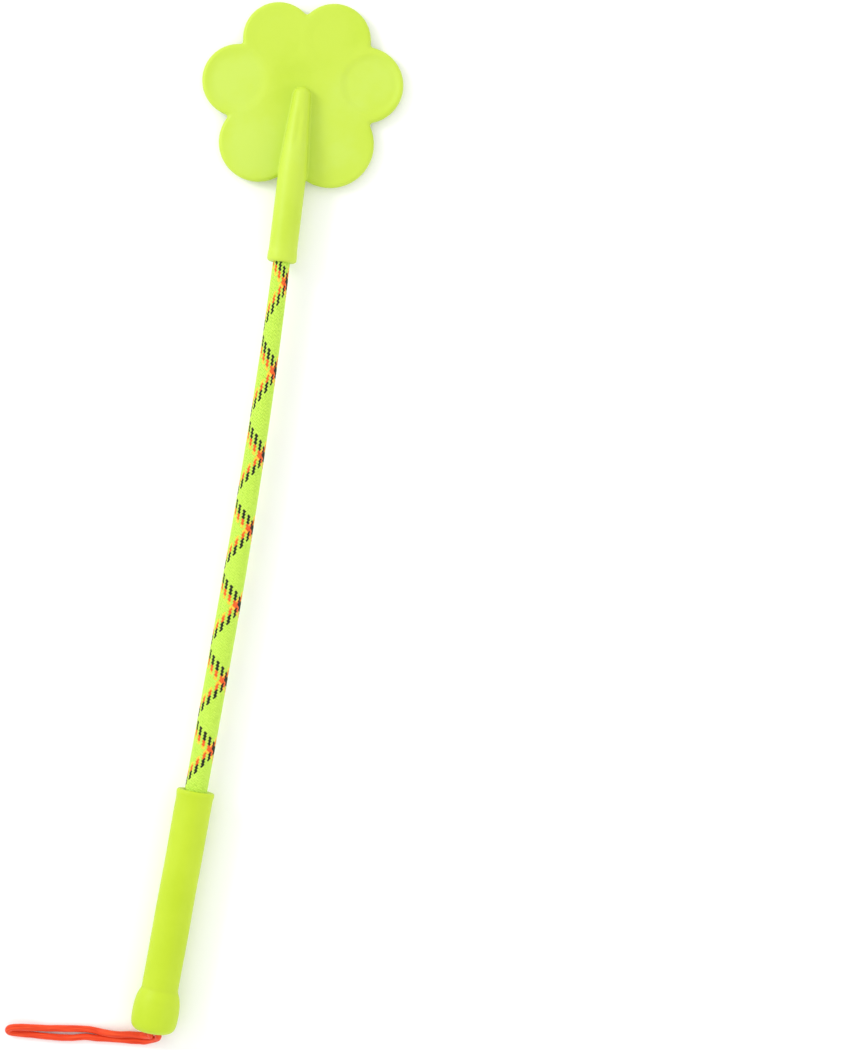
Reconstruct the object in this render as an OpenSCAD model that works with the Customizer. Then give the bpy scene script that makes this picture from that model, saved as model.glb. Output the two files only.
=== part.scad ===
// Hand stick with a soft six-lobed head: a springy rod in a braided sleeve, a smooth grip with a
// bulb at its end, and a wrist loop of satin cord. It lies on its face, with the head's pads and
// the bulb on the ground. The stick runs along +Y, from the bulb to the head, and +Z is up.

/* [Shaft] */
// Length of braided shaft that shows between the grip and the head's socket
shaft_len = 267.5; // [200:0.5:330]
// Diameter of the braided shaft at the grip
shaft_d_low = 11.4; // [11:0.1:11.6]
// Length of the shaft above the grip that has this full diameter, before it tapers
taper_start = 108; // [60:1:160]
// Diameter of the braided shaft at the socket
shaft_d_high = 8.7; // [8.4:0.1:8.8]
// Angle that the springy shaft has turned by at its upper end
bow = 3.4; // [0:0.1:6]
// Diameter of the core rod
rod_d = 4; // [3:0.1:4.4]
// Thickness of the braid
braid_t = 0.7; // [0.5:0.05:0.9]

/* [Grip] */
// Diameter of the grip
grip_d = 18.4; // [17:0.1:20]
// Distance from the bulb's end to the grip's mouth
grip_top = 122.7; // [100:0.1:140]
// Length of the bulb
bulb_len = 22.5; // [21:0.1:24]
// Largest diameter of the bulb
bulb_d = 23.3; // [22:0.1:26]

/* [Head] */
// Outer diameter of the socket and the rib's lower end
stem_d = 14.2; // [13.4:0.1:16]
// Length of the stem below the plate
stem_len = 38; // [30:1:45]
// Distance from the socket's mouth to the rib's tip
rib_len = 89; // [84:1:92]
// Width of the rib near its tip
rib_tip_w = 8.5; // [7:0.1:10]
// Thickness of the lobed plate
plate_t = 4.5; // [3.5:0.1:5.5]
// Height of the pads on the striking face
pad_t = 2; // [1:0.1:3]
// Diameter of the dish in each side lobe
dish_d = 27; // [20:0.5:29]
// Depth of the dish in each side lobe
dish_depth = 1.1; // [0.5:0.1:1.5]

/* [Wrist loop] */
// Diameter of the satin cord
cord_d = 3.4; // [3:0.1:3.4]

/* [Hidden] */
$fn = 64;

// Heights above the ground: the stick's axis, and the plate's two faces
axis_z = bulb_d / 2;
plate_low = pad_t;
plate_high = pad_t + plate_t;

// Lobes of the head, each [x, y, radius] from the socket's mouth, in order round the outline
LOBES = [[-15.3, 112.4, 18], [12.5, 114.5, 18.4], [30.6, 94, 19.2],
         [16.7, 62.5, 22], [-19.2, 59.2, 19.9], [-32.8, 88.8, 18.3]];
TOP_LOBES = [LOBES[0], LOBES[1]];
SIDE_LOBES = [LOBES[2], LOBES[5]];
// Discs of the palm pad on the striking face, each [x, y, radius]
PALM = [[-16.5, 60, 12], [14.5, 62, 12], [-0.5, 78, 13]];
toe_pad_share = 0.64;
rim_r = 1.8;
pad_edge_r = 1.2;
top_dish_share = 0.55;

// Free play between parts that slip over each other, and the bores that follow from it
play = 0.05;
grip_bore_r = shaft_d_low / 2 + 2 * play;
socket_r = shaft_d_high / 2 + 2 * play;
filler_wall_r = rod_d / 2 + play;

// Places along the shaft, from the grip's mouth (0) towards the head
rod_start = -89;
filler_start = -61;
sleeve_start = -55;
sleeve_end = shaft_len + 26;
filler_end = shaft_len + 31;
rod_end = shaft_len + 52;
socket_depth = 33;
tip_bore_r = 3.3;
tip_bore_end = 58;
tip_cap_len = 9;

// Inside the bulb
end_wall = 3.2;
cord_hole_r = 4.4;
knot_room_r = 6.5;
spigot_r = 7.6;
spigot_start = 14.5;
washer_t = 1;
knot_r = 4.3;

// Course of the cord, from inside the bulb round the loop and back, with the bulb's end at the origin
NECK_A = [[1.75, 5.8, 11.65], [1.8, 3, 11.65], [2.4, 0.3, 11.6], [3.4, -1.6, 10.8], [3.2, -2.8, 9],
          [2, -4, 7], [-0.5, -5.5, 4.2], [-3.9, -7.1, 2.2]];
LOOP = [[-5.7, -7.3, 1.9], [-10.4, -7.9, 1.75], [-19.5, -8.8, 1.75], [-28, -9.8, 1.75],
        [-33, -10.2, 1.75], [-40.4, -12, 1.75], [-50.4, -13.3, 1.75], [-61.5, -14.1, 1.75],
        [-69.3, -14.7, 1.75], [-71, -14.5, 2.3], [-71.8, -13.4, 3.8], [-71, -12, 5.3],
        [-69.3, -11.2, 5.9], [-65.8, -10.6, 5], [-60.5, -10.2, 3.2], [-53.6, -9.5, 1.9],
        [-46.2, -8.3, 1.75], [-38.2, -7, 1.75], [-32.2, -6.2, 1.8], [-27.1, -6.2, 2.2],
        [-23.4, -6.1, 3.4], [-19.8, -6, 3.8], [-15.8, -5.5, 3.8], [-10.8, -4.6, 3.7],
        [-5.5, -4, 3.9]];
NECK_B = [[-4, -3.8, 4.8], [-2, -3.2, 6.5], [-0.6, -2.5, 8.6], [-0.6, -1.2, 10.7],
          [-1.3, 0.6, 11.6], [-1.75, 3, 11.65], [-1.75, 5.8, 11.65]];

// Centre line of the shaft: a rod held at the grip and turned at its tip bows as a cubic
function shaft_t(s) = max(0, min(1, s / shaft_len));
function shaft_x(s) = -shaft_len * tan(bow) * pow(shaft_t(s), 3) / 3 - max(0, s - shaft_len) * sin(bow);
function shaft_y(s) = grip_top + min(s, shaft_len) + max(0, s - shaft_len) * cos(bow);
function shaft_turn(s) = atan(tan(bow) * pow(shaft_t(s), 2));
function shaft_r(s) = let (taper = max(0, min(1, (s - taper_start) / (shaft_len - taper_start))))
    (shaft_d_low + (shaft_d_high - shaft_d_low) * taper) / 2;

// The head's place: the socket's mouth, turned with the shaft's end
head_x = shaft_x(shaft_len);
head_y = shaft_y(shaft_len);
function head_reach(way) = max([for (l = LOBES)
    way * [head_x + l.x * cos(bow) - l.y * sin(bow), head_y + l.x * sin(bow) + l.y * cos(bow)] + l.z]);
high_x = head_reach([1, 0]);
low_x = -head_reach([-1, 0]);
high_y = head_reach([0, 1]);

// Moves the stick so that the origin is under the middle of its box, on the ground
module in_frame() {
    translate([-(low_x + high_x) / 2, -high_y / 2, 0]) children();
}

// The stick's own axis laid along +Y, for shapes turned about Z
module along_stick(y = 0) {
    in_frame() translate([0, y, axis_z]) rotate([-90, 0, 0]) children();
}

// The head's frame: the origin on the ground under the socket's mouth, +Y along the stem
module in_head() {
    in_frame() translate([head_x, head_y, 0]) rotate([0, 0, bow]) children();
}

// The stem's axis, for shapes turned about Z
module along_stem(y = 0) {
    in_head() translate([0, y, axis_z]) rotate([-90, 0, 0]) children();
}

// One ring of a swept shape on the shaft
function shaft_ring(s, r, sides) = [for (i = [0:sides - 1]) let (a = 360 * i / sides, c = shaft_turn(s))
    [shaft_x(s) + r * cos(a) * cos(c), shaft_y(s) + r * cos(a) * sin(c), axis_z + r * sin(a)]];

// Faces between rings that follow each other; a closed run also joins the last ring to the first
function side_faces(rings, sides, closed) = [for (i = [0:rings - (closed ? 1 : 2)], j = [0:sides - 1])
    let (k = (i + 1) % rings, m = (j + 1) % sides)
    [i * sides + j, i * sides + m, k * sides + m, k * sides + j]];
function end_faces(rings, sides) = [[for (j = [sides - 1:-1:0]) j], [for (j = [0:sides - 1])
    (rings - 1) * sides + j]];

// Places of the rings between two ends of a piece of the shaft
function stations(from, to) = concat([from], [for (i = [0:24]) shaft_len * i / 24], [to]);

// A tube on the shaft, with its outer and inner radius at each station given by lists
module shaft_tube(places, outer, inner, sides) {
    last = len(places) - 1;
    rings = concat([for (i = [0:last]) shaft_ring(places[i], outer[i], sides)],
                   [for (i = [last:-1:0]) shaft_ring(places[i], inner[i], sides)]);
    polyhedron(points = [for (ring = rings) each ring],
               faces = side_faces(len(rings), sides, true), convexity = 6);
}

// A solid round bar on the shaft
module shaft_bar(places, r, sides) {
    polyhedron(points = [for (s = places) each shaft_ring(s, r, sides)],
               faces = concat(side_faces(len(places), sides, false), end_faces(len(places), sides)),
               convexity = 4);
}

// A round cord swept through its points, with its rings carried along so that they don't twist
module swept_cord(path) {
    sides = 8;
    last = len(path) - 1;
    function unit(v) = v / norm(v);
    function ahead(i) = unit(path[min(i + 1, last)] - path[max(i - 1, 0)]);
    function square_to(v, t) = unit(v - (v * t) * t);
    over = [for (i = 0, v = square_to([0, 0, 1], ahead(0)); i <= last;
                 i = i + 1, v = square_to(v, ahead(min(i, last)))) v];
    function cord_ring(i) = let (side = cross(ahead(i), over[i])) [for (j = [0:sides - 1])
        path[i] + cord_d / 2 * (cos(360 * j / sides) * over[i] + sin(360 * j / sides) * side)];
    polyhedron(points = [for (i = [0:last]) each cord_ring(i)],
               faces = concat(side_faces(last + 1, sides, false), end_faces(last + 1, sides)),
               convexity = 10);
}

// A disc with a rounded edge, from height low to high
module pebble(r, low, high, edge) {
    rotate_extrude() {
        translate([0, low]) square([r - edge, high - low]);
        translate([0, low + edge]) square([r, high - low - 2 * edge]);
        for (y = [low + edge, high - edge]) translate([r - edge, y]) circle(edge);
    }
}

// A shallow dish, cut from a face at height z
module dish(r, depth, z) {
    ball_r = (r * r + depth * depth) / (2 * depth);
    translate([0, 0, z - depth + ball_r]) sphere(ball_r, $fn = 128);
}

module core_rod() {
    color("ivory") in_frame()
        shaft_bar(stations(rod_start, rod_end), rod_d / 2, 16);
}

module tip_cap() {
    color("dimgray") along_stem(rod_end - shaft_len - tip_cap_len + 3) difference() {
        cylinder(r = tip_bore_r - play, h = tip_cap_len);
        translate([0, 0, -1]) cylinder(r = rod_d / 2 + play, h = tip_cap_len - 2);
    }
}

module butt_plug() {
    plug_len = 10;
    color("dimgray") along_stick(grip_top + rod_start - 4) difference() {
        cylinder(r = grip_bore_r - play, h = plug_len);
        translate([0, 0, 4]) cylinder(r = rod_d / 2 + play, h = plug_len);
    }
}

module shaft_filler() {
    places = stations(filler_start, filler_end);
    color("whitesmoke") in_frame()
        shaft_tube(places, [for (s = places) shaft_r(s) - braid_t - play],
                   [for (s = places) filler_wall_r], 20);
}

module lower_whipping() {
    color("white") along_stick(grip_top + filler_start) difference() {
        cylinder(r = shaft_d_low / 2, h = sleeve_start - filler_start - play);
        translate([0, 0, -1]) cylinder(r = shaft_d_low / 2 - braid_t + play, h = 20);
    }
}

module upper_whipping() {
    color("white") along_stem(sleeve_end - shaft_len + play) difference() {
        cylinder(r = shaft_d_high / 2, h = filler_end - sleeve_end - play);
        translate([0, 0, -1]) cylinder(r = shaft_d_high / 2 - braid_t + play, h = 20);
    }
}

module braided_sleeve() {
    places = stations(sleeve_start, sleeve_end);
    color("yellowgreen") in_frame()
        shaft_tube(places, [for (s = places) shaft_r(s)],
                   [for (s = places) shaft_r(s) - braid_t], 24);
}

// The socket's tube, with a collar and a rounded mouth
module stem() {
    collar_r = stem_d / 2 + 0.35;
    mouth_r = 2;
    along_stem() rotate_extrude() {
        translate([0, mouth_r]) square([collar_r, 4]);
        square([collar_r - mouth_r, mouth_r]);
        translate([collar_r - mouth_r, mouth_r]) circle(mouth_r);
        translate([0, mouth_r]) square([stem_d / 2, stem_len + 10]);
    }
}

// The rib that runs up the plate from the stem to a rounded tip
module rib() {
    tip_r = rib_tip_w / 2;
    tip_drop = 2.6;
    in_head() hull() {
        translate([0, stem_len + stem_d / 2, plate_low + 1]) cylinder(d = stem_d, h = 8, $fn = 32);
        translate([0, stem_len + stem_d / 2, axis_z]) sphere(d = stem_d, $fn = 32);
        translate([0, rib_len - tip_r, plate_low + 1]) cylinder(r = tip_r, h = 4, $fn = 32);
        translate([0, rib_len - tip_r, axis_z - tip_drop]) sphere(tip_r, $fn = 32);
    }
}

// The lobed plate with its dishes, and the pads on its striking face
module plate() {
    in_head() difference() {
        union() {
            for (l = LOBES) translate([l.x, l.y, 0]) pebble(l.z, plate_low, plate_high, rim_r);
            translate([0, 0, plate_low]) linear_extrude(plate_t)
                polygon([for (l = LOBES) [l.x, l.y]]);
            for (l = concat(TOP_LOBES, SIDE_LOBES)) translate([l.x, l.y, 0])
                pebble(l.z * toe_pad_share, 0, plate_low + 2, pad_edge_r);
            for (p = PALM) translate([p.x, p.y, 0]) pebble(p.z, 0, plate_low + 2, pad_edge_r);
            linear_extrude(plate_low + 2) polygon([for (p = PALM) [p.x, p.y]]);
        }
        for (l = SIDE_LOBES) translate([l.x, l.y, 0]) dish(dish_d / 2, dish_depth, plate_high);
        for (l = TOP_LOBES) translate([l.x, l.y, 0])
            dish(dish_d / 2, dish_depth * top_dish_share, plate_high);
    }
}

module paw_head() {
    color("greenyellow") difference() {
        union() {
            stem();
            rib();
            plate();
        }
        along_stem(-1) cylinder(r = socket_r, h = socket_depth + 1);
        along_stem(0) cylinder(r = tip_bore_r, h = tip_bore_end);
    }
}

module grip_sleeve() {
    lip_len = 3.2;
    lip_r = grip_d / 2 + 0.3;
    edge_r = 0.9;
    color("greenyellow") along_stick() difference() {
        union() {
            translate([0, 0, bulb_len + play]) cylinder(d = grip_d, h = grip_top - bulb_len - 2);
            rotate_extrude() {
                translate([0, grip_top - lip_len]) square([lip_r, lip_len - edge_r]);
                translate([0, grip_top - lip_len]) square([lip_r - edge_r, lip_len]);
                translate([lip_r - edge_r, grip_top - edge_r]) circle(edge_r);
            }
            translate([0, 0, spigot_start]) cylinder(r = spigot_r, h = bulb_len);
        }
        translate([0, 0, spigot_start - 1]) cylinder(r = grip_bore_r, h = grip_top);
    }
}

// The bulb: a round end, a belly, and a shoulder that narrows to the grip
module pommel_cap() {
    belly_r = bulb_d / 2;
    end_r = 5;
    shoulder_r = grip_d / 2 + 0.1;
    color("greenyellow") along_stick() difference() {
        rotate_extrude($fn = 96) difference() {
            union() {
                polygon([[0, 0], [belly_r - end_r, 0], [belly_r, end_r], [belly_r, 10],
                         [belly_r - 0.3, 15], [belly_r - 1, 18.2], [shoulder_r, bulb_len],
                         [0, bulb_len]]);
                translate([belly_r - end_r, end_r]) circle(end_r);
            }
            translate([-belly_r, -1]) square([belly_r, bulb_len + 2]);
        }
        translate([0, 0, -1]) cylinder(r = cord_hole_r, h = end_wall + 2);
        translate([0, 0, end_wall]) cylinder(r = knot_room_r, h = bulb_len);
        translate([0, 0, spigot_start - 0.2]) cylinder(r = spigot_r + play, h = bulb_len);
    }
}

module retaining_washer() {
    color("silver") along_stick(end_wall) difference() {
        cylinder(r = knot_room_r - 0.3, h = washer_t);
        translate([0, 0, -1]) cylinder(r = 3.7, h = washer_t + 2);
    }
}

// The knot that joins the cord's two ends: two turns drawn down on each other
module loop_knot() {
    turn_r = knot_r - cord_d / 2;
    flat = knot_r - 0.7;
    color("orangered") along_stick(end_wall + washer_t + knot_r + 0.9) rotate_extrude() difference() {
        union() {
            for (z = [-2, 2]) translate([turn_r, z]) circle(d = cord_d);
            translate([0, -flat]) square([turn_r, 2 * flat]);
        }
        translate([0, -10]) square([10, 10 - flat]);
    }
}

module cord_neck() {
    color("orangered") in_frame() {
        swept_cord(NECK_A);
        swept_cord(NECK_B);
    }
}

module wrist_loop() {
    color("orangered") in_frame() swept_cord(LOOP);
}

core_rod();
tip_cap();
butt_plug();
shaft_filler();
lower_whipping();
upper_whipping();
braided_sleeve();
paw_head();
grip_sleeve();
pommel_cap();
retaining_washer();
loop_knot();
cord_neck();
wrist_loop();
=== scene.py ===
"""A soft-headed hand stick lying on a pale floor, seen from straight above.

The CAD part gives the places and sizes. This script gives the looks: a moulded head with dishes and a rib,
a braid of real interlaced yarns, a soft grip with a bulb, and a loop of satin cord.
All lengths are in millimetres until a mesh is made. The stick's own frame has its origin at the bulb's end,
on the floor, with +Y towards the head.
"""

import math

import bpy
import numpy as np
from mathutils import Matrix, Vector


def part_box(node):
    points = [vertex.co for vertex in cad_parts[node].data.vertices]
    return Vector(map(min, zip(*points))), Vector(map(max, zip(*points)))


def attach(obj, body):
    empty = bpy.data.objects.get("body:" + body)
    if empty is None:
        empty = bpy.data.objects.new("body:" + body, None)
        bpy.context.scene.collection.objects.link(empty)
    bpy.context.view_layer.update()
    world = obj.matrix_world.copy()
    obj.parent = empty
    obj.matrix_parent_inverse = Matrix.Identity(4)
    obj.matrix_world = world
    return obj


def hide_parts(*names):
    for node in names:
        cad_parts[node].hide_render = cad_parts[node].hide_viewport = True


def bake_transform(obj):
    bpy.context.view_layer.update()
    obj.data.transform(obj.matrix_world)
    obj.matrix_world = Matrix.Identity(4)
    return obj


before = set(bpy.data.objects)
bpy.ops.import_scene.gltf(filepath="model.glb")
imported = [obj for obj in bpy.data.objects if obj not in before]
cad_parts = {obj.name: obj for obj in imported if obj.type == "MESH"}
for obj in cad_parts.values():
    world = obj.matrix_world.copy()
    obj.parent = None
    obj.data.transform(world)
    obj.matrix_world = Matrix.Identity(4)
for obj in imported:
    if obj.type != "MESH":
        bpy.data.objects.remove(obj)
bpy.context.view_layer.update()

MM = 0.001

# ---------------------------------------------------------------- driving dimensions

# Shaft: the length that shows, where it starts to taper, its radius at each end, and the turn of its bow
SHAFT_LEN = 267.5
TAPER_START = 108.0
SHAFT_R_LOW = 5.7
SHAFT_R_HIGH = 4.35
BOW = math.radians(3.4)

# Head, from the socket's mouth: each lobe's x, y and radius, in order round the outline
LOBES = [(-15.3, 112.4, 18.0), (12.5, 114.5, 18.4), (30.6, 94.0, 19.2),
         (16.7, 62.5, 22.0), (-19.2, 59.2, 19.9), (-32.8, 88.8, 18.3)]
TOP_LEFT, TOP_RIGHT, RIGHT, LOW_RIGHT, LOW_LEFT, LEFT = LOBES
# Dishes: the lobe, how far the dish lies aside and up from its middle, and the dish's radius, depth and wall
DISHES = [(LEFT, -0.8, 0.0, 14.2, 0.7, 6.0), (RIGHT, 2.9, 0.4, 14.0, 0.95, 4.4),
          (TOP_LEFT, 0.0, 0.0, 13.4, 0.35, 6.5), (TOP_RIGHT, 0.5, 0.0, 13.4, 0.4, 6.5)]
# Painted light: how much paler each lobe is painted, for the floor's light that shows through where the
# translucent moulding is thin
PAINTED_LIGHT_SHARES = [0.1, 0.1, 0.7, 0.5, 0.75, 0.8]
# The three discs of the palm pad under the plate, and the disc that fills the plate's middle
PALM = [(-16.5, 60.0, 12.0), (14.5, 62.0, 12.0), (-0.5, 78.0, 13.0)]
PLATE_CORE = (0.0, 86.0, 26.0)
PLATE_LOW = 2.0
PLATE_HIGH = 6.5
PLATE_EDGE_R = 1.9
PAD_EDGE_R = 1.2
PAD_SHARE = 0.64
# The socket's tube and the rib that it runs on into
STEM_R = 7.1
STEM_LEN = 38.0
RIB_END = 89.0
RIB_TIP_R = 4.25
SOCKET_R = 4.45
SOCKET_DEPTH = 33.0

# The cord: its diameter, and its course out of the bulb, round the loop and back in
CORD_D = 3.4
COURSE = [(1.75, 5.8, 11.65), (1.8, 3, 11.65), (2.4, 0.3, 11.6), (3.4, -1.6, 10.8), (3.2, -2.8, 9),
          (2, -4, 7), (-0.5, -5.5, 4.2), (-3.9, -7.1, 2.2), (-5.7, -7.3, 1.9), (-10.4, -7.9, 1.75),
          (-19.5, -8.8, 1.75), (-28, -9.8, 1.75), (-33, -10.2, 1.75), (-40.4, -12, 1.75),
          (-50.4, -13.3, 1.75), (-61.5, -14.1, 1.75), (-69.3, -14.7, 1.75), (-71, -14.5, 2.3),
          (-71.8, -13.4, 3.8), (-71, -12, 5.3), (-69.3, -11.2, 5.9), (-65.8, -10.6, 5), (-60.5, -10.2, 3.2),
          (-53.6, -9.5, 1.9), (-46.2, -8.3, 1.75), (-38.2, -7, 1.75), (-32.2, -6.2, 1.8), (-27.1, -6.2, 2.2),
          (-23.4, -6.1, 3.4), (-19.8, -6, 3.8), (-15.8, -5.5, 3.8), (-10.8, -4.6, 3.7), (-5.5, -4, 3.9),
          (-4, -3.8, 4.8), (-2, -3.2, 6.5), (-0.6, -2.5, 8.6), (-0.6, -1.2, 10.7), (-1.3, 0.6, 11.6),
          (-1.75, 3, 11.65), (-1.75, 5.8, 11.65)]

# ---------------------------------------------------------------- places, from the frame

bulb_low, bulb_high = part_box("pommel_cap")
_, grip_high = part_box("grip_sleeve")
STICK_X = (bulb_low.x + bulb_high.x) / 2 / MM
STICK_Y = bulb_low.y / MM
AXIS_Z = (bulb_low.z + bulb_high.z) / 2 / MM
GRIP_TOP = (grip_high.y - bulb_low.y) / MM


def in_row(points):
    """Points in the stick's own frame moved to the row frame, still in millimetres."""
    return np.asarray(points, float) + np.array([STICK_X, STICK_Y, 0.0])


def shaft_centre(s):
    """Centre line of the shaft at the distances s from the grip's mouth, and its turn there."""
    t = np.clip(s / SHAFT_LEN, 0, 1)
    past = np.maximum(s - SHAFT_LEN, 0)
    x = -SHAFT_LEN * math.tan(BOW) * t**3 / 3 - past * math.sin(BOW)
    y = GRIP_TOP + np.minimum(s, SHAFT_LEN) + past * math.cos(BOW)
    return x, y, np.arctan(math.tan(BOW) * t**2)


def on_shaft(s, angle, radius):
    """Points round the shaft. The angle is measured from straight up towards +X."""
    x, y, turn = shaft_centre(s)
    side = radius * np.sin(angle)
    height = AXIS_Z + radius * np.cos(angle)
    return np.stack([x + side * np.cos(turn), y + side * np.sin(turn), height], -1)


def shaft_radius(s):
    taper = np.clip((s - TAPER_START) / (SHAFT_LEN - TAPER_START), 0, 1)
    return SHAFT_R_LOW + (SHAFT_R_HIGH - SHAFT_R_LOW) * taper


def from_head(points):
    """Points in the head's frame, which starts at the socket's mouth, moved to the row frame."""
    x, y, _ = shaft_centre(np.array(SHAFT_LEN))
    c, s = math.cos(BOW), math.sin(BOW)
    turned = points @ np.array([[c, s, 0], [-s, c, 0], [0, 0, 1]])
    return in_row(turned + np.array([float(x), float(y), 0.0]))


# ---------------------------------------------------------------- making meshes

def add_piece(name, points, faces, material, uv=None):
    """A smooth mesh object from points in millimetres, in the row frame."""
    mesh = bpy.data.meshes.new(name)
    faces = faces if isinstance(faces, list) else faces.tolist()
    mesh.from_pydata((np.asarray(points) * MM).tolist(), [], faces)
    mesh.polygons.foreach_set("use_smooth", np.ones(len(mesh.polygons), bool))
    if uv is not None:
        layer = mesh.uv_layers.new(name="UVMap")
        layer.data.foreach_set("uv", np.asarray(uv, np.float32).ravel())
    mesh.materials.append(material)
    mesh.update()
    piece = bpy.data.objects.new(name, mesh)
    bpy.context.scene.collection.objects.link(piece)
    return piece


def ring_faces(rings, sides, closed):
    """Quads between rings of points that follow each other; a closed run joins the last ring to the first."""
    i = np.arange(rings if closed else rings - 1)[:, None]
    j = np.arange(sides)[None, :]
    k, m = (i + 1) % rings, (j + 1) % sides
    return np.stack([i * sides + j, i * sides + m, k * sides + m, k * sides + j], -1).reshape(-1, 4)


def tube_skin(along, sides):
    """The faces of a tube with closed ends, and their UVs: millimetres along it, and a share round it."""
    count = len(along)
    faces = ring_faces(count, sides, False).tolist()
    faces += [list(range(sides - 1, -1, -1)), [(count - 1) * sides + j for j in range(sides)]]
    u = np.stack([along[:-1], along[:-1], along[1:], along[1:]], -1)[:, None].repeat(sides, 1)
    v = (np.arange(sides)[None, :, None] + np.array([0, 1, 1, 0])[None, None]).repeat(count - 1, 0) / sides
    return faces, np.vstack([np.stack([u, v], -1).reshape(-1, 2), np.zeros((2 * sides, 2))])


def arc(centre_y, centre_r, radius, start, end, steps=6):
    """Points of an arc in a lathe profile, as (y, r), between two angles from +y towards +r."""
    angles = np.radians(np.linspace(start, end, steps))
    return [(centre_y + radius * math.cos(a), centre_r + radius * math.sin(a)) for a in angles]


def lathe(name, profile, material, sides=96, ripple=None):
    """A closed profile of (y, r) points turned about the stick's axis."""
    y, r = np.array(profile, float).T
    angle = np.linspace(0, 2 * math.pi, sides, endpoint=False)
    grid_y = np.repeat(y[:, None], sides, 1)
    grid_r = np.repeat(r[:, None], sides, 1)
    if ripple is not None:
        grid_r = grid_r + ripple(grid_y, angle[None, :], grid_r)
    points = np.stack([grid_r * np.sin(angle), grid_y, AXIS_Z + grid_r * np.cos(angle)], -1)
    return add_piece(name, in_row(points.reshape(-1, 3)), ring_faces(len(y), sides, True), material)


def finer(profile, step):
    """The same profile with points added so that no side is longer than step."""
    out = []
    for a, b in zip(profile, profile[1:] + profile[:1]):
        n = max(1, int(math.dist(a, b) / step))
        out += [(a[0] + (b[0] - a[0]) * i / n, a[1] + (b[1] - a[1]) * i / n) for i in range(n)]
    return out


def smooth_curve(points, step):
    """A smooth curve through the points, with a place about every step millimetres."""
    p = np.asarray(points, float)
    p = np.vstack([2 * p[0] - p[1], p, 2 * p[-1] - p[-2]])
    out = []
    for a, b, c, d in zip(p, p[1:], p[2:], p[3:]):
        n = max(2, int(np.linalg.norm(c - b) / step))
        ta = 0.0
        tb = ta + np.linalg.norm(b - a) ** 0.5
        tc = tb + np.linalg.norm(c - b) ** 0.5
        td = tc + np.linalg.norm(d - c) ** 0.5
        t = np.linspace(tb, tc, n, endpoint=False)[:, None]
        ab = (tb - t) / (tb - ta) * a + (t - ta) / (tb - ta) * b
        bc = (tc - t) / (tc - tb) * b + (t - tb) / (tc - tb) * c
        cd = (td - t) / (td - tc) * c + (t - tc) / (td - tc) * d
        low = (tc - t) / (tc - ta) * ab + (t - ta) / (tc - ta) * bc
        high = (td - t) / (td - tb) * bc + (t - tb) / (td - tb) * cd
        out.append((tc - t) / (tc - tb) * low + (t - tb) / (tc - tb) * high)
    return np.vstack([*out, p[-2:-1]])


def unit(v):
    return v / np.linalg.norm(v, axis=-1, keepdims=True)


# ---------------------------------------------------------------- materials

class Material:
    """A Principled material with short ways to add its nodes."""

    def __init__(self, name, **values):
        self.data = bpy.data.materials.new(name)
        self.data.use_nodes = True
        self.nodes, self.links = self.data.node_tree.nodes, self.data.node_tree.links
        self.shader = self.nodes["Principled BSDF"]
        for socket, value in values.items():
            self.shader.inputs[socket.replace("_", " ")].default_value = value
        self.place = self.nodes.new("ShaderNodeTexCoord")

    def link(self, source, target):
        self.links.new(source, target)

    def noise(self, scale, detail=3.0, roughness=0.5, stretch=None, coordinate="Object"):
        noise = self.nodes.new("ShaderNodeTexNoise")
        noise.inputs["Scale"].default_value = scale
        noise.inputs["Detail"].default_value = detail
        noise.inputs["Roughness"].default_value = roughness
        source = self.place.outputs[coordinate]
        if stretch is not None:
            mapping = self.nodes.new("ShaderNodeMapping")
            mapping.inputs["Scale"].default_value = stretch
            self.link(source, mapping.inputs["Vector"])
            source = mapping.outputs["Vector"]
        self.link(source, noise.inputs["Vector"])
        return noise.outputs["Fac"]

    def ramp(self, factor, stops):
        ramp = self.nodes.new("ShaderNodeValToRGB")
        ramp.color_ramp.interpolation = "EASE"
        while len(ramp.color_ramp.elements) < len(stops):
            ramp.color_ramp.elements.new(0.5)
        for element, (position, colour) in zip(ramp.color_ramp.elements, stops):
            element.position = position
            element.color = (*colour, 1.0)
        self.link(factor, ramp.inputs["Fac"])
        return ramp.outputs["Color"]

    def attribute(self, name):
        node = self.nodes.new("ShaderNodeAttribute")
        node.attribute_name = name
        return node.outputs["Fac"]

    def mixed(self, a, b, share):
        """Of two factors, the first, with so much of the second added."""
        node = self.nodes.new("ShaderNodeMath")
        node.operation = "MULTIPLY_ADD"
        self.link(b, node.inputs[0])
        node.inputs[1].default_value = share
        self.link(a, node.inputs[2])
        return node.outputs["Value"]

    def colour(self, factor, stops):
        self.link(self.ramp(factor, stops), self.shader.inputs["Base Color"])

    def roughness(self, factor, low, high):
        spread = self.nodes.new("ShaderNodeMapRange")
        spread.inputs["To Min"].default_value = low
        spread.inputs["To Max"].default_value = high
        self.link(factor, spread.inputs["Value"])
        self.link(spread.outputs["Result"], self.shader.inputs["Roughness"])

    def bump(self, heights):
        """Bumps from (height, strength, depth in millimetres), the coarsest first."""
        normal = None
        for height, strength, depth in heights:
            bump = self.nodes.new("ShaderNodeBump")
            bump.inputs["Strength"].default_value = strength
            bump.inputs["Distance"].default_value = depth * MM
            self.link(height, bump.inputs["Height"])
            if normal is not None:
                self.link(normal, bump.inputs["Normal"])
            normal = bump.outputs["Normal"]
        self.link(normal, self.shader.inputs["Normal"])


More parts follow.
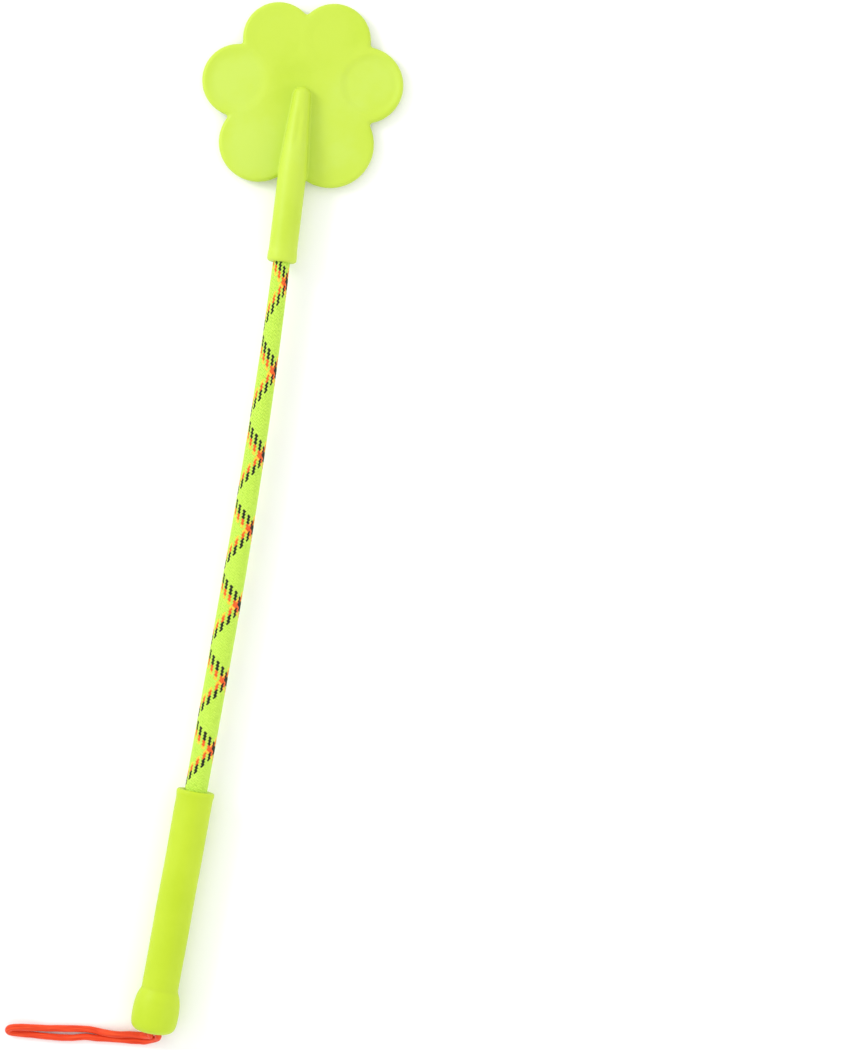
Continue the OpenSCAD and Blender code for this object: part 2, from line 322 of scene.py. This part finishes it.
def soft_moulding(name, deep, pale, rough, glow, painted_light_colour=None):
    """Neon soft plastic: faint clouding, a satin surface, and light that goes a little way in."""
    m = Material(name, Subsurface_Weight=glow, Subsurface_Scale=0.004, Specular_IOR_Level=0.4)
    m.shader.inputs["Subsurface Radius"].default_value = (1.0, 1.0, 0.25)
    cloud = m.noise(38, detail=4, roughness=0.55)
    if painted_light_colour is None:
        m.colour(cloud, [(0.3, deep), (0.7, pale)])
    else:
        # Painted light: the mesh's pale attribute lifts the colour towards the last, palest stop, where the
        # lobes are painted paler
        m.colour(m.mixed(cloud, m.attribute("pale"), 0.5), [(0.3, deep), (0.6, pale), (1.0, painted_light_colour)])
    m.roughness(m.noise(120, detail=4), rough - 0.07, rough + 0.09)
    m.bump([(m.noise(170, detail=2), 0.25, 0.12), (m.noise(1600, detail=4), 0.25, 0.03)])
    return m.data


def yarn(name, dark, light, rough=0.62, sheen=0.2):
    """Spun yarn: filaments along its length, with painted shade between them, and a soft sheen."""
    m = Material(name, Sheen_Weight=sheen, Sheen_Roughness=0.4, Specular_IOR_Level=0.3)
    filaments = m.noise(1.0, detail=3, stretch=(0.5, 9.0, 1.0), coordinate="UV")
    # Painted shade: the colour is darker where the filaments' bump is low, between them
    m.colour(filaments, [(0.3, dark), (0.62, light)])
    m.roughness(m.noise(900), rough - 0.1, rough + 0.12)
    m.bump([(filaments, 0.6, 0.05)])
    return m.data


def satin_cord():
    """Satin cord: fine threads laid along it, bright where they catch the light."""
    m = Material("satin_cord", Sheen_Weight=0.05, Sheen_Roughness=0.35, Anisotropic=0.5,
                 Specular_IOR_Level=0.22)
    threads = m.noise(1.0, detail=4, stretch=(0.1, 22.0, 1.0), coordinate="UV")
    shadow, middle, shine = (0.52, 0.022, 0.004), (0.76, 0.056, 0.012), (0.92, 0.125, 0.032)
    m.colour(threads, [(0.25, shadow), (0.5, middle), (0.8, shine)])
    m.roughness(m.noise(1.0, stretch=(0.2, 8.0, 1.0), coordinate="UV"), 0.38, 0.6)
    m.bump([(m.noise(260), 0.25, 0.2), (threads, 0.7, 0.09)])
    return m.data


def plain(name, dark, light, rough, metal=0.0, grain=400):
    """An inner part's finish: a little clouding and a fine grain."""
    m = Material(name, Metallic=metal)
    m.colour(m.noise(90), [(0.35, dark), (0.65, light)])
    m.roughness(m.noise(grain), rough - 0.08, rough + 0.08)
    m.bump([(m.noise(grain * 3), 0.2, 0.03)])
    return m.data


# The head's palest colour is painted light, reached only where the lobes are painted paler
NEON_HEAD = soft_moulding("neon_head", (0.480, 0.645, 0.036), (0.510, 0.67, 0.052), 0.48, glow=0.12,
                          painted_light_colour=(0.525, 0.69, 0.085))
NEON_GRIP = soft_moulding("neon_grip", (0.460, 0.62, 0.008), (0.495, 0.655, 0.016), 0.5, glow=0.12)
YARN_GREEN = yarn("yarn_green", (0.41, 0.655, 0.046), (0.58, 0.83, 0.09))
YARN_BLACK = yarn("yarn_black", (0.003, 0.005, 0.002), (0.018, 0.024, 0.008), sheen=0.04)
YARN_ORANGE = yarn("yarn_orange", (0.66, 0.075, 0.008), (0.95, 0.15, 0.015))
YARN_YELLOW = yarn("yarn_yellow", (0.85, 0.42, 0.02), (1.0, 0.68, 0.06))
SATIN = satin_cord()
INNER = {
    "core_rod": plain("glass_fibre_rod", (0.62, 0.58, 0.40), (0.78, 0.74, 0.56), 0.35),
    "tip_cap": plain("cap_plastic", (0.03, 0.03, 0.03), (0.06, 0.06, 0.06), 0.5),
    "butt_plug": plain("plug_plastic", (0.03, 0.03, 0.03), (0.06, 0.06, 0.06), 0.5),
    "shaft_filler": plain("filler_plastic", (0.30, 0.62, 0.02), (0.42, 0.78, 0.05), 0.55),
    "lower_whipping": plain("tape_low", (0.70, 0.69, 0.64), (0.85, 0.84, 0.80), 0.8, grain=900),
    "upper_whipping": plain("tape_high", (0.70, 0.69, 0.64), (0.85, 0.84, 0.80), 0.8, grain=900),
    "retaining_washer": plain("washer_steel", (0.45, 0.45, 0.46), (0.60, 0.60, 0.61), 0.35, metal=1.0),
    "loop_knot": plain("knot_cord", (0.72, 0.035, 0.008), (0.95, 0.10, 0.02), 0.45),
}


# ---------------------------------------------------------------- the camera

# How far the picture is turned, and what it shows at the height of the shaft's axis, in the stick's own frame
PHOTO_ROLL = math.radians(10.33)
VIEW_HEIGHT = 525.0
VIEW_CENTRE = (86.9, 273.55)
LENS = 100.0
SENSOR = 36.0


def add_camera():
    """Straight down, turned so that the grip leans to the right, with the picture's height in view."""
    data = bpy.data.cameras.new("camera")
    data.lens = LENS
    data.sensor_width = SENSOR
    data.clip_end = 20
    camera = bpy.data.objects.new("camera", data)
    bpy.context.scene.collection.objects.link(camera)
    x, y, _ = in_row([*VIEW_CENTRE, 0.0])
    camera.location = (x * MM, y * MM, (VIEW_HEIGHT * LENS / SENSOR + AXIS_Z) * MM)
    camera.rotation_euler = (0, 0, PHOTO_ROLL)
    bpy.context.scene.camera = camera


# ---------------------------------------------------------------- the wrist loop

def add_cord():
    """One tube of satin cord from inside the bulb, round the loop and back."""
    sides, step, lay_length, floor_gap = 20, 0.45, 9.0, 0.02
    line = smooth_curve(COURSE, step)
    ahead = unit(np.gradient(line, axis=0))
    over = np.zeros_like(line)
    over[0] = (0, 0, 1)
    for i in range(1, len(line)):
        over[i] = unit(over[i - 1] - (over[i - 1] @ ahead[i]) * ahead[i])
    side = np.cross(ahead, over)
    along = np.concatenate([[0], np.cumsum(np.linalg.norm(np.diff(line, axis=0), axis=1))])
    angle = np.linspace(0, 2 * math.pi, sides, endpoint=False)[None, :, None]
    lay = (2 * math.pi * along / lay_length)[:, None, None]
    swell = 1 + 0.02 * np.sin(along / 3.1)[:, None, None] + 0.018 * np.cos(3 * angle + lay)
    outwards = np.cos(angle) * over[:, None] + np.sin(angle) * side[:, None]
    rings = line[:, None] + CORD_D / 2 * 0.98 * swell * outwards
    rings[..., 2] = np.maximum(rings[..., 2], floor_gap)
    faces, uv = tube_skin(along, sides)
    piece = add_piece("wrist_cord", in_row(rings.reshape(-1, 3)), faces, SATIN, uv)
    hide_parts("wrist_loop", "cord_neck")
    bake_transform(piece)


# ---------------------------------------------------------------- the braid

YARNS_EACH_WAY = 24
YARN_STEP = 2 * math.pi / YARNS_EACH_WAY
# A yarn's thickness, the gap left between yarns, and how far the yarns go into the grip and the socket
YARN_T = 0.36
YARN_GAP = 0.02
TUCKED_IN = 4.0
# The tracer yarns, in order round the shaft, and where they meet: the angle, and the places along the shaft
TRACERS = ["yellow", "orange", "orange", "black", "black", "black"]
APEX_ANGLE = math.radians(54.75)
APEX_PLACES = [-14.0, 20.5, 55.4, 93.6, 132.3, 168.9, 211.5, 256.0, 300.5]
# How far the pattern is pushed up the shaft at its right side, and down it at its left
COURSE_SKEW = 1.6
# A yarn's cross-section: its corners round it, in degrees, and how steeply it steps from over to under
YARN_CORNERS = [0, 52, 128, 180, 232, 308]
STEP_STEEPNESS = 1.7


def turns_at(s):
    """How many turns a yarn has made by s. One turn brings it from one apex of the pattern to the next."""
    return np.interp(s, APEX_PLACES, range(len(APEX_PLACES)))


def place_of(turns):
    """The place along the shaft where a yarn has made so many turns."""
    return np.interp(turns, range(len(APEX_PLACES)), APEX_PLACES)


def yarn_rings(index, hand, fineness):
    """Rings of one yarn, so many to a crossing, and how far along the yarn each one is.

    The yarn goes over two of the other hand's yarns and under the next two: rise is 1 over them and -1 under.
    """
    crossings_per_turn = 2 * YARNS_EACH_WAY
    first, last = turns_at(-TUCKED_IN), turns_at(SHAFT_LEN + TUCKED_IN)
    count = int((last - first) * crossings_per_turn * fineness)
    turns = np.linspace(first, last, count)
    since_apex = turns - 1
    angle = APEX_ANGLE + hand * 2 * math.pi * since_apex + YARN_STEP * (index - (len(TRACERS) - 1) / 2)
    crossing = 2 * index + 0.5 + hand * crossings_per_turn * since_apex
    rise = np.tanh(STEP_STEEPNESS * np.cos(math.pi / 2 * crossing)) / math.tanh(STEP_STEEPNESS) * hand
    s = place_of(turns) + COURSE_SKEW * np.sin(angle)
    radius = shaft_radius(s) - YARN_T / 2 - YARN_GAP - (1 - rise) / 2 * (YARN_T - YARN_GAP)
    line = on_shaft(s, angle, radius)
    ahead = unit(np.gradient(line, axis=0))
    out = unit(line - on_shaft(s, angle, np.zeros(count)))
    side = unit(np.cross(ahead, out))
    out = np.cross(side, ahead)
    lean = np.abs(np.sum(ahead * np.array([0, 1.0, 0]), axis=1))
    apart = np.gradient(place_of(turns), turns) / YARNS_EACH_WAY
    half_width = 0.5 * apart * np.sqrt(1 - np.clip(lean, 0, 0.9) ** 2) * (1 + 0.06 * rise)
    crown, belly = 1.15, 0.95
    corners = np.radians(YARN_CORNERS)
    across = half_width[:, None] * np.cos(corners)
    up = YARN_T / 2 * np.sin(corners) * np.where(np.sin(corners) > 0, crown, belly)
    rings = line[:, None] + across[..., None] * side[:, None] + up[None, :, None] * out[:, None]
    return rings, np.concatenate([[0], np.cumsum(np.linalg.norm(np.diff(line, axis=0), axis=1))])


def add_yarns(name, indices, hands, material, fineness=4):
    """Some of the braid's yarns as one piece."""
    points, faces, uv, start = [], [], [], 0
    for hand in hands:
        for index in indices:
            rings, along = yarn_rings(index, hand, fineness)
            skin, places = tube_skin(along, rings.shape[1])
            points.append(rings.reshape(-1, 3))
            faces += [[start + corner for corner in face] for face in skin]
            own_texture = (7.3 * index + 3.1 * hand, 0)
            uv.append(places + np.array(own_texture))
            start += len(points[-1])
    piece = add_piece(name, in_row(np.vstack(points)), faces, material, np.vstack(uv))
    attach(piece, "stick")
    return piece


def add_braid():
    colours = {colour: [i for i, c in enumerate(TRACERS) if c == colour] for colour in set(TRACERS)}
    ground = list(range(len(TRACERS), YARNS_EACH_WAY))
    rising = add_yarns("braid_ground_rising", ground, [1], YARN_GREEN, 2)
    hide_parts("braided_sleeve")
    add_yarns("braid_ground_falling", ground, [-1], YARN_GREEN, 2)
    add_yarns("braid_black", colours["black"], [1, -1], YARN_BLACK)
    add_yarns("braid_orange", colours["orange"], [1, -1], YARN_ORANGE)
    add_yarns("braid_yellow", colours["yellow"], [1, -1], YARN_YELLOW)


# ---------------------------------------------------------------- the grip and the bulb

# The grip and the bulb meet flush at the seam. Rings of points close to it keep its shading crisp
SEAM_Y = 22.6
SEAM_RING = 0.04
GRIP_R = 9.2


def softly_uneven(y, angle, r):
    """The slight waviness of a soft moulding, on its outside only, from nothing at the seam."""
    inside_r, ease_in = 8.5, 8.0
    wave = 0.05 * np.sin(y / 7.0 + 1.3 * np.sin(angle)) + 0.04 * np.sin(2 * angle + y / 11.0)
    return np.where(r > inside_r, wave, 0.0) * np.clip((y - SEAM_Y) / ease_in, 0, 1)


def add_grip():
    """The grip's tube, with a small rounded lip at its mouth and a spigot inside the bulb."""
    lip_r, bore_r, spigot_r, lip_edge, bore_edge = 9.5, 5.8, 7.6, 1.0, 0.5
    top, start = GRIP_TOP, 14.5
    profile = [(start, bore_r), (start, spigot_r), (SEAM_Y, spigot_r)]
    profile += [(SEAM_Y, GRIP_R - SEAM_RING), (SEAM_Y, GRIP_R), (SEAM_Y + SEAM_RING, GRIP_R)]
    profile += [(top - 4.2, GRIP_R), (top - 3.2, GRIP_R + 0.1), (top - 2.4, lip_r - 0.05)]
    profile += arc(top - lip_edge, lip_r - lip_edge, lip_edge, 90, 0)
    profile += arc(top - bore_edge, bore_r + bore_edge, bore_edge, 0, -90, 4)
    grip = lathe("grip", finer(profile, 1.6), NEON_GRIP, ripple=softly_uneven)
    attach(grip, "stick")
    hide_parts("grip_sleeve")


def add_pommel():
    """The bulb: a nearly flat end with a cord hole, a round belly, and a shoulder down to the grip."""
    outside = [(0.25, 7.2), (0.7, 8.6), (1.5, 9.8), (2.6, 10.7), (3.9, 11.2), (5.6, 11.5), (8, 11.64),
               (11, 11.64), (13.5, 11.5), (15.5, 11.25), (17.2, 10.95), (18.5, 10.6), (19.7, 10.15),
               (20.8, 9.62), (21.7, 9.3), (SEAM_Y, GRIP_R)]
    outside = [tuple(p) for p in smooth_curve(outside, 0.4)]
    hole_r, hole_edge, wall, room_r, spigot_r, spigot_start = 4.4, 0.8, 3.2, 6.5, 7.65, 14.3
    profile = arc(hole_edge, hole_r + hole_edge, hole_edge, 270, 180, 5)
    profile += outside[:-1]
    profile += [(SEAM_Y - SEAM_RING, GRIP_R + 0.003), (SEAM_Y, GRIP_R), (SEAM_Y, GRIP_R - SEAM_RING)]
    profile += [(SEAM_Y, spigot_r), (spigot_start, spigot_r), (spigot_start, room_r)]
    profile += [(wall, room_r), (wall, hole_r)]
    pommel = lathe("pommel", finer(profile, 1.0), NEON_GRIP)
    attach(pommel, "stick")
    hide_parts("pommel_cap")


# ---------------------------------------------------------------- the head

def joined(a, b, k):
    """The union of two distance fields, with a fillet of about k where they meet."""
    h = np.clip(0.5 + 0.5 * (b - a) / k, 0, 1)
    return b + (a - b) * h - k * h * (1 - h)


def rounded(a, b, edge):
    """Where two distance fields meet, both drawn in by edge beforehand: a rounded edge of that radius."""
    return np.hypot(np.maximum(a, 0), np.maximum(b, 0)) + np.minimum(np.maximum(a, b), 0) - edge


def slab(outline, z, low, high, edge):
    """A plate from its outline's field, between two heights, with rounded edges."""
    return rounded(outline + edge, np.abs(z - (low + high) / 2) - ((high - low) / 2 - edge), edge)


def disc(x, y, lobe, share=1.0):
    return np.hypot(x - lobe[0], y - lobe[1]) - lobe[2] * share


def eased(share):
    """A smooth step from 0 to 1 as share goes from 0 to 1."""
    share = np.clip(share, 0, 1)
    return share * share * (3 - 2 * share)


def basin(x, y, spot, radius, depth, wall):
    """The height taken off by a shallow round basin with a soft wall."""
    return depth * eased((radius + wall / 2 - np.hypot(x - spot[0], y - spot[1])) / wall)


def plate_top(x, y):
    """Height of the plate's upper face: dished side and top lobes, full lower lobes, and a dimple."""
    swell, dimple_depth = 0.5, 0.75
    top = PLATE_HIGH
    for lobe, aside, up, radius, depth, wall in DISHES:
        top = top - basin(x, y, (lobe[0] + aside, lobe[1] + up), radius, depth, wall)
    for lobe in (LOW_LEFT, LOW_RIGHT):
        top = top + swell * eased(1 - np.hypot(x - lobe[0], y - lobe[1]) / lobe[2])
    return top - dimple_depth * np.exp(-((x + 3.3) / 10.5) ** 2 - ((y - 95.8) / 4.2) ** 2)


def head_field(x, y, z):
    """The head's distance field, negative inside, in the head's own frame."""
    lobe_fillet, palm_fillet, pad_fillet, rib_fillet = 2.2, 7.0, 0.8, 1.1
    outline = disc(x, y, PLATE_CORE)
    for lobe in LOBES:
        outline = joined(outline, disc(x, y, lobe), lobe_fillet)
    field = slab(outline, z, PLATE_LOW, plate_top(x, y), PLATE_EDGE_R)
    palm = disc(x, y, PALM[0])
    for spot in PALM[1:]:
        palm = joined(palm, disc(x, y, spot), palm_fillet)
    toes = [disc(x, y, lobe, PAD_SHARE) for lobe in (TOP_LEFT, TOP_RIGHT, LEFT, RIGHT)]
    for pad in [*toes, palm]:
        field = joined(field, slab(pad, z, 0.0, 2 * PLATE_LOW, PAD_EDGE_R), pad_fillet)
    field = joined(field, spine_field(x, y, z), rib_fillet)
    bore = np.maximum(np.hypot(x, z - AXIS_Z) - SOCKET_R, y - SOCKET_DEPTH)
    return np.maximum(field, -bore)


def spine_field(x, y, z):
    """The socket's round tube, which runs on over the plate as a grooved rib that drops to a round tip."""
    start, end, plate_y = STEM_LEN + STEM_R, RIB_END - RIB_TIP_R, 50.0
    tip_drop, mouth_edge, lip, lip_end = 2.6, 1.7, 0.3, 6.5
    groove_x, groove_start, groove_end, groove_width, groove_depth = 0.4, 55.0, 80.0, 1.4, 0.55
    share = np.clip((y - start) / (end - start), 0, 1)
    radius = STEM_R + (RIB_TIP_R - STEM_R) * share + lip * eased((lip_end - y) / 3)
    above = np.maximum(z - (AXIS_Z - tip_drop * share**1.3), 0)
    below = np.minimum(z - AXIS_Z, 0) * eased((plate_y - y) / 16)
    body = np.sqrt(x**2 + np.maximum(y - end, 0) ** 2 + above**2 + below**2) - radius
    groove = np.exp(-((x - groove_x) / groove_width) ** 2)
    groove = groove * eased((y - groove_start) / 7) * eased((groove_end - y) / 8)
    body = body + groove_depth * groove * eased((z - PLATE_HIGH - 2) / 2)
    body = np.maximum(body, PLATE_LOW + 0.6 + 1.9 * np.clip((plate_y - y) / 8, 0, 1) - z)
    return rounded(body + mouth_edge, mouth_edge - y, mouth_edge)


def cell_mesh(inside):
    """The cells of a grid that the surface crosses, and the quads joining them, one for each crossed edge."""
    size = [n - 1 for n in inside.shape]
    filled = sum(inside[tuple(slice(o, o + n) for o, n in zip(corner, size))].astype(np.int8)
                 for corner in np.ndindex(2, 2, 2))
    crossed = (filled > 0) & (filled < 8)
    index = np.full(size, -1)
    index[crossed] = np.arange(crossed.sum())
    faces = []
    for axis in range(3):
        one, two = [a for a in range(3) if a != axis]
        here = [slice(None)] * 3
        there = [slice(None)] * 3
        here[axis], there[axis] = slice(0, -1), slice(1, None)
        edges = np.argwhere(inside[tuple(here)] != inside[tuple(there)])
        edges = edges[(edges[:, one] > 0) & (edges[:, two] > 0)
                      & (edges[:, one] < size[one]) & (edges[:, two] < size[two])]
        quad = []
        for d1, d2 in ((1, 1), (0, 1), (0, 0), (1, 0)):
            cell = edges.copy()
            cell[:, one] -= d1
            cell[:, two] -= d2
            quad.append(index[tuple(cell.T)])
        quad = np.stack(quad, -1)
        starts_inside = inside[tuple(edges.T)]
        flip = starts_inside if axis == 1 else ~starts_inside
        quad[flip] = quad[flip][:, ::-1]
        faces.append(quad)
    return np.argwhere(crossed), np.vstack(faces)


def pulled_onto(field, points, furthest):
    """The points moved along the field's slope onto its zero surface, none of them very far."""
    reach, flattest = 0.02, 0.5
    slope = np.stack([field(*(points + d).T) - field(*(points - d).T) for d in np.eye(3) * reach], -1)
    slope = slope / (2 * reach)
    steep = np.maximum((slope**2).sum(1), flattest**2)
    return points - np.clip(field(*points.T) / steep, -furthest, furthest)[:, None] * slope


def surface_of(field, low, high, step):
    """A closed, even quad mesh of a distance field's zero surface."""
    passes = 3
    axes = [np.arange(a, b + step, step) for a, b in zip(low, high)]
    cells, faces = cell_mesh(field(*np.meshgrid(*axes, indexing="ij", sparse=True)) < 0)
    points = np.array(low) + (cells + 0.5) * step
    for _ in range(passes):
        points = pulled_onto(field, points, step)
    pairs = np.vstack([faces[:, [0, 1]], faces[:, [1, 2]], faces[:, [2, 3]], faces[:, [3, 0]]])
    pairs = np.vstack([pairs, pairs[:, ::-1]])
    neighbours = np.bincount(pairs[:, 0], minlength=len(points))[:, None]
    for _ in range(passes):
        total = np.zeros_like(points)
        np.add.at(total, pairs[:, 0], points[pairs[:, 1]])
        points = pulled_onto(field, 0.5 * points + 0.5 * total / np.maximum(neighbours, 1), step)
    return pulled_onto(field, points, step), faces


def add_head():
    grid_step = 0.6
    grid_low, grid_high = (-53.4, -1.2, -1.2), (53.4, 135.0, 20.4)
    points, faces = surface_of(head_field, grid_low, grid_high, grid_step)
    head = add_piece("paw_head_moulding", from_head(points), faces, NEON_HEAD)
    x, y, _ = points.T
    # Painted light: how much paler each point is painted, from each lobe's share, kept on the mesh as the
    # pale attribute
    pale = sum(share * eased(1.5 - 1.15 * np.hypot(x - lobe[0], y - lobe[1]) / lobe[2])
               for lobe, share in zip(LOBES, PAINTED_LIGHT_SHARES))
    layer = head.data.attributes.new("pale", "FLOAT", "POINT")
    layer.data.foreach_set("value", np.clip(pale, 0, 1).astype(np.float32))
    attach(head, "stick")
    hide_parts("paw_head")


# ---------------------------------------------------------------- floor and light

def add_floor():
    half = 6.0
    mesh = bpy.data.meshes.new("floor")
    corners = [(-half, -half, 0), (half, -half, 0), (half, half, 0), (-half, half, 0)]
    mesh.from_pydata(corners, [], [(0, 1, 2, 3)])
    m = Material("floor", Roughness=0.9, Specular_IOR_Level=0.1)
    m.colour(m.noise(2.0), [(0.3, (0.955, 0.955, 0.955)), (0.7, (0.975, 0.975, 0.975))])
    mesh.materials.append(m.data)
    floor = bpy.data.objects.new("floor", mesh)
    bpy.context.scene.collection.objects.link(floor)


def add_lamp(name, across, up, height, size, watts):
    """A soft square lamp, placed as the picture sees it: across to the right, up, and above the floor."""
    data = bpy.data.lights.new(name, "AREA")
    data.size = size
    data.energy = watts
    lamp = bpy.data.objects.new(name, data)
    c, s = math.cos(PHOTO_ROLL), math.sin(PHOTO_ROLL)
    place = Vector((across * c - up * s, across * s + up * c, height))
    lamp.location = place
    lamp.rotation_euler = (-place).to_track_quat("-Z", "Y").to_euler()
    bpy.context.scene.collection.objects.link(lamp)


def add_light():
    world = bpy.data.worlds.new("studio")
    world.use_nodes = True
    background = world.node_tree.nodes["Background"]
    background.inputs["Color"].default_value = (1, 1, 1, 1)
    background.inputs["Strength"].default_value = 1.05
    bpy.context.scene.world = world
    add_lamp("key", across=-1.4, up=0.9, height=1.2, size=0.7, watts=15.4)
    add_lamp("fill", across=1.6, up=-0.4, height=1.0, size=1.2, watts=4.4)


# ---------------------------------------------------------------- putting it together

bpy.context.scene.view_settings.view_transform = "Standard"
add_camera()
add_cord()
add_head()
add_braid()
add_grip()
add_pommel()
for node, finish in INNER.items():
    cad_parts[node].data.materials.clear()
    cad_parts[node].data.materials.append(finish)
add_floor()
add_light()
